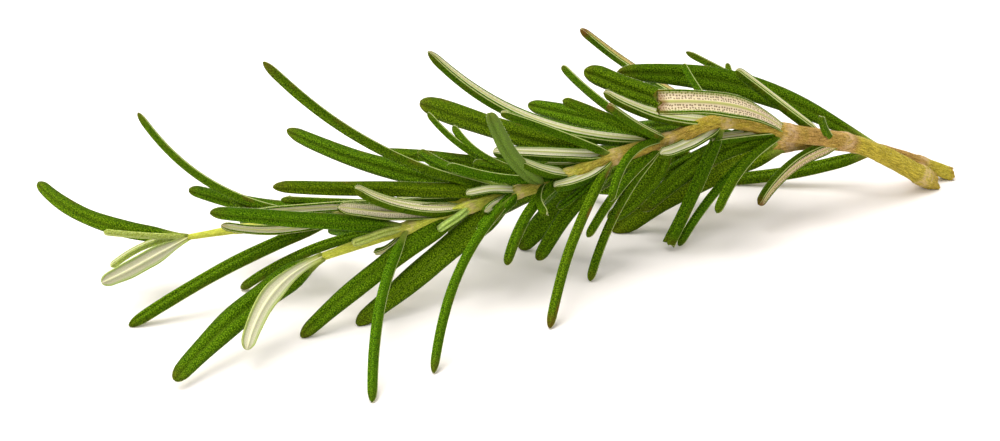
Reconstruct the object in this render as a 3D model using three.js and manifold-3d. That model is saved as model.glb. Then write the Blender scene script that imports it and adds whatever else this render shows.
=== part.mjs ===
// A cut sprig of rosemary lying on a flat surface. The main shoot arches up from its cut end, the
// second shoot lies low behind it, and a side shoot leaves the main one near its tip. Every leaf is
// a narrow blade with rolled margins, rooted in its stem.
//
// Millimetres, +Z up, z = 0 is the surface that the sprig lies on. +X runs towards the cut ends and
// +Y towards the back. The origin is the middle of the sprig's footprint.

import * as THREE from "three";
import * as BufferGeometryUtils from "three/addons/utils/BufferGeometryUtils.js";
import Module from "manifold-3d";

const wasm = await Module();
wasm.setup();

// ---- Stems -------------------------------------------------------------------------------------
// The points are the places where leaves grow, from the cut or lower end to the tip. Only the bare
// one carries none, and it doesn't swell.

const MAIN_STEM = {
  points: [
    [60.5, 27.4, 0.7], [52.5, 23.3, 6.7], [46.5, 20.5, 10.1], [37.7, 16, 13.4],
    [28.6, 11.9, 16.9], [20.7, 8.1, 15.6], [13.4, 4.7, 14.7], [7.2, 1.7, 13.3],
    [0.4, -1.7, 12.4], [-6, -4.7, 11.6], [-14, -9, 10.6], [-24.8, -15, 9.3],
  ],
  bare: 1,
  radii: [1.3, 0.75],
};

const SECOND_STEM = {
  points: [
    [63.5, 30.5, 0.6], [55.5, 28.4, 4.4], [48.5, 24.6, 7.6], [38.5, 20.5, 9.5],
    [28, 20, 5.8], [20, 17.5, 4.2],
  ],
  bare: 1,
  radii: [1.05, 0.7],
};

const SIDE_STEM = {
  points: [
    [-6, -2.4, 11.8], [-12, -3, 11], [-22.6, -3, 9.5], [-29.9, -3, 8.4],
    [-36.5, -3, 7.6], [-43.5, -3.5, 6.6],
  ],
  radii: [0.8, 0.57],
};

const STEM_SIDES = 8;
const RINGS_PER_POINT = 2;
const NODE_SWELLING = 0.14; // extra radius where leaves grow, as a share of the radius
const END_THINNING = 0.32; // share of the radius that's lost over a stem's last stretch

// ---- The eye -----------------------------------------------------------------------------------
// A leaf is placed by where it shows from one eye, in front of the sprig and above it. A spot in the
// eye's view is [across, down], in view steps from the view's upper left corner.

const EYE = {
  place: [-2, -337.5, 164.8],
  dip: 25, // degrees below level that it looks, straight towards +Y
  ahead: [500, 220.5], // the spot straight ahead
  stepsPerDistance: 2778, // steps that span as much as their distance from the eye
};

// ---- Leaves ------------------------------------------------------------------------------------
//   at      where on the stem it grows: the index of a stem point, and a fraction falls between two
//   tip     the spot where its tip shows
//   and one of these, which says how deep in the view that tip lies:
//     height  of the tip above the surface
//     back    the tip's place along +Y
//     near    the straight length from root to tip, with the tip turned towards the eye
//     far     the same, with the tip turned away
//   width   across the blade
//   face    turn of its upper face about the blade, in degrees: 0 looks at the eye, 180 away from it
//   via     a spot that the blade's midline runs through; without one it has a plain arch
//   behind  how far its middle bows away from the eye
//   swell   the share of its length where it reaches its full width, if it isn't the usual one
//   end     "blunt" for a tip as broad as the blade, "torn" for one that was bitten off square

const MAIN_LEAVES = [
  // the lowest pair and a small leaf above them
  { at: 2.4, tip: [736, 70], near: 16, width: 2.2, face: -104, via: [780, 104] },
  { at: 2.25, tip: [821, 117], near: 7, width: 1, face: -50 },
  { at: 2, tip: [759, 205], height: 3.5, width: 2.5, face: 122, via: [800, 160] },
  // the broad leaf folded over the stem, and those that hang to the front and below
  { at: 3, tip: [655, 103], near: 24, width: 3.5, face: -153, via: [720, 104], swell: 0.6, end: "torn" },
  { at: 3, tip: [717, 213], near: 17, width: 1.4, face: 60, via: [738, 172] },
  { at: 3, tip: [679, 246], height: 0.2, width: 1.2, face: 50, via: [718, 188] },
  { at: 3, tip: [712, 141], near: 12, width: 1.8, face: -125, via: [750, 135] },
  { at: 3, tip: [642, 211], height: 3.8, width: 2.7, face: 15, via: [700, 163] },
  // the top of the arch
  { at: 4, tip: [683, 64], far: 10.5, width: 1, face: -80, via: [700, 92] },
  { at: 4, tip: [668, 245], height: 0.8, width: 2, face: 50, via: [697, 184], end: "torn" },
  { at: 4, tip: [660, 154], near: 12, width: 1.9, face: -150, via: [680, 148] },
  { at: 3.5, tip: [650, 182], height: 7.5, width: 1.8, face: 0, via: [696, 157] },
  { at: 4, tip: [580, 29], back: 37, width: 1.6, face: -112, via: [635, 70], behind: 6.3 },
  { at: 4, tip: [584, 71], back: 20, width: 3, face: -15, via: [645, 94], end: "blunt" },
  { at: 4, tip: [604, 92], near: 19, width: 2.5, face: -125, via: [650, 113] },
  // fifth point
  { at: 5, tip: [611, 201], near: 14, width: 1.1, face: 60, via: [622, 164] },
  { at: 5, tip: [608, 219], height: 4.5, width: 2.6, face: 10, via: [650, 181] },
  { at: 5, tip: [590, 281], height: 0.2, width: 1.3, face: 65, via: [608, 228] },
  { at: 5, tip: [587, 237], near: 18, width: 1.2, face: 50, via: [600, 215] },
  { at: 5, tip: [562, 66], far: 20, width: 1.4, face: -75, via: [590, 93] },
  { at: 5, tip: [563, 100], near: 16.5, width: 1.6, face: -45, via: [610, 120] },
  { at: 5, tip: [608, 105], near: 13, width: 1.7, face: -95, via: [645, 130] },
  { at: 5, tip: [428, 52], near: 36, width: 2.6, face: -118, via: [560, 130] },
  { at: 5, tip: [528, 105], far: 24, width: 3, face: 0, via: [600, 122] },
  // sixth point
  { at: 6, tip: [549, 328], height: 0.2, width: 1.4, face: 40, via: [573, 240] },
  { at: 6, tip: [519, 248], height: 0.2, width: 3.8, face: 10, via: [556, 211] },
  { at: 6, tip: [537, 260], height: 1.5, width: 2.3, face: 15, via: [570, 209] },
  { at: 6, tip: [554, 187], near: 11, width: 2, face: -128, via: [575, 182] },
  { at: 6, tip: [558, 208], near: 10.5, width: 1.1, face: 10, via: [575, 195] },
  { at: 6, tip: [501, 113], near: 19, width: 1.7, face: -90, via: [555, 132] },
  { at: 6, tip: [420, 102], far: 31, width: 3.3, face: -25, via: [500, 130], end: "blunt" },
  { at: 6, tip: [493, 152], near: 17, width: 2.2, face: -128, via: [555, 155] },
  { at: 6, tip: [545, 165], far: 11, width: 1, face: -100 },
  // seventh point, with two small leaves just above it
  { at: 7, tip: [506, 265], near: 16.5, width: 1.5, face: 45, via: [528, 213] },
  { at: 7, tip: [380, 153], height: 10, width: 1.8, face: -30, via: [475, 162] },
  { at: 7, tip: [448, 165], near: 18, width: 1.2, face: -70, via: [500, 178] },
  { at: 7, tip: [473, 163], height: 13, width: 1.6, face: -40, via: [520, 172] },
  { at: 7, tip: [428, 113], far: 23, width: 1, face: -80, via: [480, 157] },
  { at: 7, tip: [453, 126], far: 19, width: 1, face: -50, via: [485, 157] },
  { at: 7, tip: [522, 163], near: 11, width: 1.9, face: -118, via: [545, 171] },
  { at: 7.4, tip: [546, 214], near: 8, width: 1.4, face: 112, via: [540, 199] },
  { at: 7.5, tip: [489, 113], near: 18.5, width: 2.2, face: -35, via: [506, 149] },
  // eighth point
  { at: 8, tip: [263, 62], near: 39, width: 1.5, face: -70, via: [400, 159] },
  { at: 8, tip: [287, 130], far: 35, width: 2.8, face: -20, via: [400, 172] },
  { at: 8, tip: [387, 162], far: 19, width: 1.7, face: -50, via: [440, 178] },
  { at: 8, tip: [273, 187], near: 34, width: 2.1, face: -30, via: [400, 190] },
  { at: 8, tip: [466, 194], near: 8.5, width: 1.2, face: -150, via: [490, 190] },
  { at: 8, tip: [357, 325], height: 0.2, width: 3.4, face: 0, via: [435, 260] },
  { at: 8, tip: [433, 373], height: 0.2, width: 1.3, face: 50, via: [453, 285] },
  { at: 8, tip: [479, 229], near: 9.5, width: 1.8, face: 30, via: [495, 213] },
  { at: 8, tip: [484, 211], near: 7.5, width: 1.1, face: 160 },
  // ninth point
  { at: 9, tip: [355, 188], near: 18.5, width: 2.2, face: -122, via: [410, 208] },
  { at: 9, tip: [338, 207], near: 20, width: 2.1, face: -165, via: [400, 213] },
  { at: 9, tip: [301, 337], height: 0.2, width: 2.8, face: 10, via: [380, 268] },
  { at: 9, tip: [438, 230], near: 6.2, width: 1.1, face: -20 },
  // tenth point
  { at: 10, tip: [210, 213], near: 28, width: 2.2, face: -25, via: [300, 220] },
  { at: 10, tip: [241, 289], height: 0.2, width: 1.4, face: 40, via: [330, 243] },
  { at: 10, tip: [353, 244], near: 8.8, width: 1.2, face: 0, via: [380, 234] },
  { at: 10, tip: [375, 252], far: 6, width: 0.9, face: 150, via: [390, 246] },
  { at: 10, tip: [372, 402], height: 0.2, width: 1.4, face: 50, via: [380, 305] },
  // the pair that ends the shoot
  { at: 11, tip: [247, 350], near: 18, width: 2.6, face: 178, via: [275, 290], behind: -0.6, swell: 0.55 },
  { at: 11, tip: [174, 380], height: 1.5, width: 3.5, face: 0, via: [240, 315], behind: 1.6 },
];

const SECOND_LEAVES = [
  { at: 1.5, tip: [617, 73], back: 21.5, width: 3.8, face: -5, via: [748, 88], swell: 0.55 },
  { at: 1.5, tip: [686, 52], back: 38, width: 1, face: -80, via: [725, 72] },
  { at: 3.3, tip: [727, 63], far: 18, width: 0.8, face: -70 },
  { at: 1.5, tip: [682, 181], height: 0.2, width: 2.2, face: 50, via: [790, 172] },
  { at: 3, tip: [612, 231], height: 0.2, width: 3.7, face: 10, via: [690, 183], end: "blunt" },
];

const SIDE_LEAVES = [
  { at: 0, tip: [396, 201], height: 12, width: 1.5, face: -120, via: [440, 198] },
  { at: 1, tip: [250, 214], near: 23, width: 1.4, face: 165, via: [330, 206] },
  { at: 1, tip: [281, 200], far: 19, width: 0.9, face: -60, via: [340, 202] },
  { at: 2, tip: [221, 226], near: 18, width: 1.4, face: 180, via: [285, 229] },
  { at: 2, tip: [129, 326], height: 0.2, width: 1.9, face: 40, via: [240, 260] },
  { at: 2, tip: [138, 113], far: 33, width: 1.4, face: -80, via: [210, 183] },
  { at: 2, tip: [189, 190], far: 24, width: 2.2, face: -20, via: [260, 206] },
  // the leaves that end the shoot
  { at: 5, tip: [38, 183], far: 23, width: 2.3, face: -20, via: [100, 222] },
  { at: 5, tip: [104, 232], near: 12.2, width: 0.7, face: 100, via: [150, 236] },
  { at: 5, tip: [111, 267], near: 11, width: 0.9, face: -120, via: [130, 253] },
  { at: 5, tip: [102, 283], near: 15, width: 2.5, face: 180, via: [160, 253], swell: 0.5 },
];

const PLAIN_ARCH = 0.5; // of a leaf with no via, towards its upper face
const EDGE_STIFFNESS = 3; // a blade bends this much less easily edgeways than over its flat

// The far side carries as many leaves as the near one, so each stem repeats these leaves at the
// points named: reach is from root to tip, and each copy departs from it by up to the play.
const BACK_LEAVES = [
  { stem: "main", first: 4, last: 8, reach: [-12, 13, -7], play: 1, width: 2.2 },
  { stem: "main", first: 10, last: 10, reach: [-12, 13, -6], play: 1, width: 2.2 },
  { stem: "main", first: 4, last: 8, reach: [-9, 9.5, -10.5], play: 0.8, width: 2 },
  { stem: "main", first: 6, last: 6, reach: [-13, 10, 1], play: 1, width: 1.8 },
  { stem: "main", first: 8, last: 8, reach: [-13, 10, 1], play: 1, width: 1.8 },
  { stem: "second", first: 4, last: 5, reach: [-14, 10, 3], play: 1, width: 2.2 },
  { stem: "second", first: 3, last: 5, reach: [-15, 11, -3], play: 1, width: 2.2 },
  { stem: "second", first: 4, last: 5, reach: [-9, 5, 6], play: 1, width: 2 },
  { stem: "side", first: 2, last: 2, reach: [-12, 8, -5], play: 0.8, width: 2 },
  { stem: "side", first: 3, last: 3, reach: [-8, 9, -4.5], play: 0.8, width: 2 },
  { stem: "side", first: 2, last: 3, reach: [-9, 6, 0], play: 0.8, width: 1.8 },
];
const BACK_LEAF_ARCH = 1;
const LOWEST_BACK_TIP = 0.8;
const PLAY_STEPS = [7, 5, 11]; // turns the play differently along x, y and z

const LEAF_STATIONS = [0, 0.12, 0.35, 0.62, 0.88, 1]; // of a blade's length
const ROOT_WIDTH = 0.38; // of the blade's full width
const FULL_WIDTH_FROM = 0.22; // of the length
const TAPER = { from: 0.45, power: 1.6, least: 0.1, perWidth: 0.13, most: 0.42 };
const TIP_ROUND_FROM = 0.88; // of the length
const TIP_WIDTH = 0.32; // of the blade's full width
// A blade gets thinner where it gets narrower, but stays thicker by the share overWidth.
const THICKNESS = {
  least: 0.85, most: 1.3, start: 0.55, perWidth: 0.38, overWidth: 0.05, atTip: 0.6,
};

// A blade's outline across, x in half widths and y in thicknesses: the rolled margin, the
// shoulder, the groove along the upper face, then the other half, and the rib below.
const LEAF_SECTION = [
  [-1, -0.3], [-0.62, 0.42], [0, 0.24], [0.62, 0.42], [1, -0.3], [0, -0.42],
];

const TABLE = { size: 400, depth: 20 };

const COLOURS = { main: 0x4a7312, second: 0x3c5c10, side: 0x5f8f1c };

// ---- Solids ------------------------------------------------------------------------------------

const vector = (numbers) => new THREE.Vector3(...numbers);

function toSolid(geometry) {
  return new wasm.Manifold(new wasm.Mesh({
    numProp: 3,
    vertProperties: geometry.getAttribute("position").array,
    triVerts: geometry.index.array,
  }));
}

function toGeometry(solid) {
  const { vertProperties, triVerts } = solid.getMesh();
  const geometry = new THREE.BufferGeometry();
  geometry.setAttribute("position", new THREE.BufferAttribute(vertProperties, 3));
  geometry.setIndex(new THREE.BufferAttribute(triVerts, 1));
  geometry.computeVertexNormals();
  return geometry;
}

// A closed skin over rings of points, all of the same count, with a fan across each end.
function loft(rings) {
  const sides = rings[0].length;
  const corners = [];
  const add = (ring, a, b, c) => corners.push(ring * sides + a, ring * sides + b, ring * sides + c);
  for (let ring = 0; ring < rings.length - 1; ring += 1) {
    for (let side = 0; side < sides; side += 1) {
      const next = (side + 1) % sides;
      add(ring, side, next, next + sides);
      add(ring, side, next + sides, side + sides);
    }
  }
  for (let side = 1; side < sides - 1; side += 1) {
    add(0, 0, side + 1, side);
    add(rings.length - 1, 0, side, side + 1);
  }
  const geometry = new THREE.BufferGeometry();
  const positions = new Float32Array(rings.flat().flatMap((point) => point.toArray()));
  geometry.setAttribute("position", new THREE.BufferAttribute(positions, 3));
  geometry.setIndex(new THREE.BufferAttribute(new Uint32Array(corners), 1));
  return geometry;
}

function stemCurve(stem) {
  return new THREE.CatmullRomCurve3(stem.points.map(vector), false, "catmullrom", 0.5);
}

function stemSolid(stem) {
  const curve = stemCurve(stem);
  const count = (stem.points.length - 1) * RINGS_PER_POINT;
  const [lower, upper] = stem.radii;
  const rings = [];
  for (let index = 0; index <= count; index += 1) {
    const share = index / count;
    const point = index / RINGS_PER_POINT;
    const swelling = Number.isInteger(point) && point !== stem.bare ? 1 + NODE_SWELLING : 1;
    const thinning = 1 - END_THINNING * Math.max(0, point - stem.points.length + 2);
    const radius = THREE.MathUtils.lerp(lower, upper, share) * swelling * thinning;
    const centre = curve.getPoint(share);
    const along = curve.getTangent(share);
    const up = new THREE.Vector3(0, 0, 1).addScaledVector(along, -along.z).normalize();
    const across = new THREE.Vector3().crossVectors(along, up);
    const ring = [];
    for (let side = 0; side < STEM_SIDES; side += 1) {
      const turn = (2 * Math.PI * (side + 0.5)) / STEM_SIDES;
      ring.push(centre.clone()
        .addScaledVector(up, radius * Math.cos(turn))
        .addScaledVector(across, radius * Math.sin(turn)));
    }
    rings.push(ring);
  }
  return toSolid(loft(rings));
}

// The line of sight from the eye through a spot of its view.
function sightLine([across, down]) {
  const dip = THREE.MathUtils.degToRad(EYE.dip);
  const direction = new THREE.Vector3(0, Math.cos(dip), -Math.sin(dip));
  const up = new THREE.Vector3(0, Math.sin(dip), Math.cos(dip));
  direction.addScaledVector(up, (EYE.ahead[1] - down) / EYE.stepsPerDistance);
  direction.x += (across - EYE.ahead[0]) / EYE.stepsPerDistance;
  return new THREE.Ray(vector(EYE.place), direction.normalize());
}

function tipPlace(leaf, root) {
  const sight = sightLine(leaf.tip);
  const place = new THREE.Vector3();
  if (leaf.height !== undefined) {
    return sight.intersectPlane(new THREE.Plane(new THREE.Vector3(0, 0, 1), -leaf.height), place);
  }
  if (leaf.back !== undefined) {
    return sight.intersectPlane(new THREE.Plane(new THREE.Vector3(0, 1, 0), -leaf.back), place);
  }
  sight.closestPointToPoint(root, place);
  const length = leaf.near ?? leaf.far;
  const depth = Math.sqrt(Math.max(0, length ** 2 - place.distanceToSquared(root)));
  return place.addScaledVector(sight.direction, leaf.near ? -depth : depth);
}

// How far the blade's middle stands off the line from root to tip.
function bowOf(leaf, root, tip, upper, across) {
  if (!leaf.via) return upper.clone().multiplyScalar(PLAIN_ARCH);
  const sight = sightLine(leaf.via);
  const onSight = new THREE.Vector3();
  const onChord = new THREE.Vector3();
  sight.distanceSqToSegment(root, tip, onSight, onChord);
  const station = onChord.distanceTo(root) / tip.distanceTo(root);
  const offset = onSight.sub(onChord).divideScalar(4 * station * (1 - station));
  const flat = offset.dot(upper);
  const edge = offset.dot(across) / EDGE_STIFFNESS ** 2;
  const share = offset.lengthSq() / (flat * flat + edge * offset.dot(across)) || 0;
  return new THREE.Vector3()
    .addScaledVector(upper, share * flat)
    .addScaledVector(across, share * edge)
    .addScaledVector(sight.direction, leaf.behind ?? 0);
}

// A leaf with its root and tip, the way its upper face looks and its bow worked out.
function seenLeaf(stem, leaf) {
  const root = stemCurve(stem).getPoint(leaf.at / (stem.points.length - 1));
  const tip = tipPlace(leaf, root);
  const chord = tip.clone().sub(root).normalize();
  const toEye = vector(EYE.place).sub(root.clone().lerp(tip, 0.5));
  const upper = toEye.addScaledVector(chord, -toEye.dot(chord)).normalize();
  upper.applyAxisAngle(chord, THREE.MathUtils.degToRad(leaf.face));
  const across = new THREE.Vector3().crossVectors(chord, upper);
  const bow = bowOf(leaf, root, tip, upper, across);
  return { ...leaf, root, tip, upper, bow };
}

// The leaves of the far side. Their upper faces look along the stem.
function backLeaves(name, stem) {
  const curve = stemCurve(stem);
  const leaves = [];
  for (const row of BACK_LEAVES.filter((entry) => entry.stem === name)) {
    for (let point = row.first; point <= row.last; point += 1) {
      const share = point / (stem.points.length - 1);
      const root = curve.getPoint(share);
      const tip = root.clone().add(vector(row.reach.map(
        (step, axis) => step + row.play * Math.sin(point * PLAY_STEPS[axis]))));
      tip.z = Math.max(tip.z, LOWEST_BACK_TIP);
      const chord = tip.clone().sub(root).normalize();
      const along = curve.getTangent(share);
      const upper = along.addScaledVector(chord, -along.dot(chord)).normalize();
      const bow = upper.clone().multiplyScalar(BACK_LEAF_ARCH);
      leaves.push({ root, tip, upper, bow, width: row.width });
    }
  }
  return leaves;
}

// A blade's width at a station, as a share of its full width. Broad blades taper more.
function fullness(station, { width, swell = FULL_WIDTH_FROM, end }) {
  let full = THREE.MathUtils.lerp(ROOT_WIDTH, 1, THREE.MathUtils.smoothstep(station, 0, swell));
  if (!end) {
    const { from, power, least, perWidth, most } = TAPER;
    const taper = THREE.MathUtils.clamp(least + perWidth * (width - 1), least, most);
    full -= taper * (Math.max(0, station - from) / (1 - from)) ** power;
  }
  if (end === "torn" || station < TIP_ROUND_FROM) return full;
  const past = (station - TIP_ROUND_FROM) / (1 - TIP_ROUND_FROM);
  return full * Math.sqrt(1 - past * past * (1 - TIP_WIDTH * TIP_WIDTH));
}

function leafSolid(leaf) {
  const { root, tip, upper, bow, width } = leaf;
  const reach = tip.clone().sub(root);
  const { least, most, start, perWidth, overWidth, atTip } = THICKNESS;
  const thickness = THREE.MathUtils.clamp(start + perWidth * width, least, most);
  const rings = LEAF_STATIONS.map((station) => {
    const full = fullness(station, leaf);
    const centre = root.clone()
      .addScaledVector(reach, station)
      .addScaledVector(bow, 4 * station * (1 - station));
    const heading = reach.clone().addScaledVector(bow, 4 * (1 - 2 * station)).normalize();
    const normal = upper.clone().addScaledVector(heading, -upper.dot(heading)).normalize();
    const side = new THREE.Vector3().crossVectors(heading, normal);
    const halfWidth = (width / 2) * full;
    const depth = Math.max(atTip, thickness * Math.min(1, full + overWidth));
    return LEAF_SECTION.map(([x, y]) => centre.clone()
      .addScaledVector(side, x * halfWidth)
      .addScaledVector(normal, y * depth));
  });
  return toSolid(loft(rings));
}

// What lies below the surface, to cut the small flats that the sprig rests on.
function tableSolid() {
  const box = new THREE.BoxGeometry(TABLE.size, TABLE.size, TABLE.depth);
  box.translate(0, 0, -TABLE.depth / 2);
  box.deleteAttribute("normal");
  box.deleteAttribute("uv");
  return toSolid(BufferGeometryUtils.mergeVertices(box));
}

function shoot(name, stem, leaves) {
  let solid = stemSolid(stem);
  const seen = leaves.map((leaf) => seenLeaf(stem, leaf));
  for (const leaf of [...seen, ...backLeaves(name, stem)]) {
    solid = solid.add(leafSolid(leaf));
  }
  solid = solid.subtract(tableSolid());
  const material = new THREE.MeshStandardMaterial({
    color: COLOURS[name], roughness: 0.5, metalness: 0,
  });
  const mesh = new THREE.Mesh(toGeometry(solid), material);
  mesh.name = `${name}_shoot`;
  return mesh;
}

const sprig = new THREE.Group();
sprig.name = "rosemary_sprig";
sprig.add(shoot("main", MAIN_STEM, MAIN_LEAVES));
sprig.add(shoot("second", SECOND_STEM, SECOND_LEAVES));
sprig.add(shoot("side", SIDE_STEM, SIDE_LEAVES));

export default sprig;
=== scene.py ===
"""Looks for the rosemary sprig: fine stems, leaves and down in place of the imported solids.

The stems and leaves repeat the lines of the solids, in millimetres in the same frame, and every
piece turns them into metres when its mesh is made.
"""

import math

import bpy
import numpy as np
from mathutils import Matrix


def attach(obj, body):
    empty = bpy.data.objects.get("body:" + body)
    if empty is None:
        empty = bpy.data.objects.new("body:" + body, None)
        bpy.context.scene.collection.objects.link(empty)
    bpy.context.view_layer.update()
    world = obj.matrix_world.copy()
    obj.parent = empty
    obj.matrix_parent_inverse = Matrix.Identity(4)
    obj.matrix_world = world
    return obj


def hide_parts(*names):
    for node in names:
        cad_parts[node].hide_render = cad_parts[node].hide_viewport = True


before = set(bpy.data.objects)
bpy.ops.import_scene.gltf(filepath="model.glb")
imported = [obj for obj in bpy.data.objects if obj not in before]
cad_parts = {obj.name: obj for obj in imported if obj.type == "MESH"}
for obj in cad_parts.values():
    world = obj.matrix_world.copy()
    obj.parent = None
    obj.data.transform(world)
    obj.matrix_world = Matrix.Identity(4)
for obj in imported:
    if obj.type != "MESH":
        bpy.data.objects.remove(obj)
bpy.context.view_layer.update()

MM = 0.001

# ---- Camera ------------------------------
# Leaves are placed by where they show from the camera, as [across, down] pixels of its picture.

EYE = np.array([-2, -337.5, 164.8])
EYE_DIP = math.radians(25)  # below level
LENS = 100
SENSOR = 36
PICTURE = np.array([1000, 441])
STEPS_PER_DISTANCE = PICTURE[0] * LENS / SENSOR

camera_data = bpy.data.cameras.new("camera")
camera_data.lens = LENS
camera_data.sensor_width = SENSOR
camera_data.clip_start = 0.01
camera = bpy.data.objects.new("camera", camera_data)
camera.location = EYE * MM
camera.rotation_euler = (math.pi / 2 - EYE_DIP, 0, 0)
bpy.context.scene.collection.objects.link(camera)
bpy.context.scene.camera = camera

# ---- Stems -------------------------------
# points: where leaves grow, from the cut or lower end to the tip.
# nodes: the places where the stem swells and is scarred.
# bark: (place along the points, share of pinkish bark, share of fresh yellow-green), in between
# the stem is olive.

STEMS = {
    "main": {
        "points": [
            (60.5, 27.4, 0.7), (52.5, 23.3, 6.7), (46.5, 20.5, 10.1), (37.7, 16, 13.4),
            (28.6, 11.9, 16.9), (20.7, 8.1, 15.6), (13.4, 4.7, 14.7), (7.2, 1.7, 13.3),
            (0.4, -1.7, 12.4), (-6, -4.7, 11.6), (-14, -9, 10.6), (-24.8, -15, 9.3),
        ],
        "radii": (1.3, 0.75),
        "nodes": (0.22, 2, 3, 4, 5, 6, 7, 8, 9, 10),
        "bark": [
            (0, 0.3, 0), (0.3, 0, 0.1), (1.7, 0.05, 0.05), (1.95, 0.9, 0), (3, 0.9, 0),
            (3.3, 0.4, 0), (4.6, 0.3, 0), (5, 0.55, 0.1), (6.5, 0.3, 0.4), (8, 0.12, 0.8),
            (9.2, 0, 1), (11, 0, 1),
        ],
        "cut": True,
    },
    "second": {
        "points": [
            (63.5, 30.5, 0.6), (55.5, 28.4, 4.4), (48.5, 24.6, 7.6), (38.5, 20.5, 9.5),
            (28, 20, 5.8), (20, 17.5, 4.2),
        ],
        "radii": (1.05, 0.7),
        "nodes": (0.58, 2, 3, 4),
        "bark": [
            (0, 0.4, 0), (0.12, 0, 0.2), (0.5, 0, 0.1), (0.58, 1, 0), (3, 0.9, 0),
            (4, 0.3, 0.3), (5, 0.1, 0.6),
        ],
        "cut": True,
    },
    "side": {
        "points": [
            (-6, -2.4, 11.8), (-12, -3, 11), (-22.6, -3, 9.5), (-29.9, -3, 8.4),
            (-36.5, -3, 7.6), (-43.5, -3.5, 6.6),
        ],
        "radii": (0.8, 0.57),
        "nodes": (1, 2, 3, 4),
        "bark": [(0, 0.1, 0.7), (2, 0, 0.9), (5, 0, 1)],
        "cut": False,
    },
}

# ---- Leaves ------------------------------
#   at      where on the stem it grows, as a place along the stem's points
#   tip     the pixel where its tip shows
#   and one of these, which says how deep in the picture that tip lies:
#     height  of the tip above the surface
#     back    the tip's place along +Y
#     near    the straight length from root to tip, with the tip turned towards the camera
#     far     the same, with the tip turned away
#   width   across the blade
#   face    turn of its upper face about the blade, in degrees: 0 looks at the camera
#   via     a pixel that the blade's midline runs through; without one it has a plain arch
#   behind  how far its middle bows away from the camera
#   swell   the share of its length where it reaches its full width, if it isn't the usual one
#   end     "blunt" for a tip as broad as the blade, "torn" for one that was bitten off square
#   look    its age and wear, from LOOKS

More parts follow.
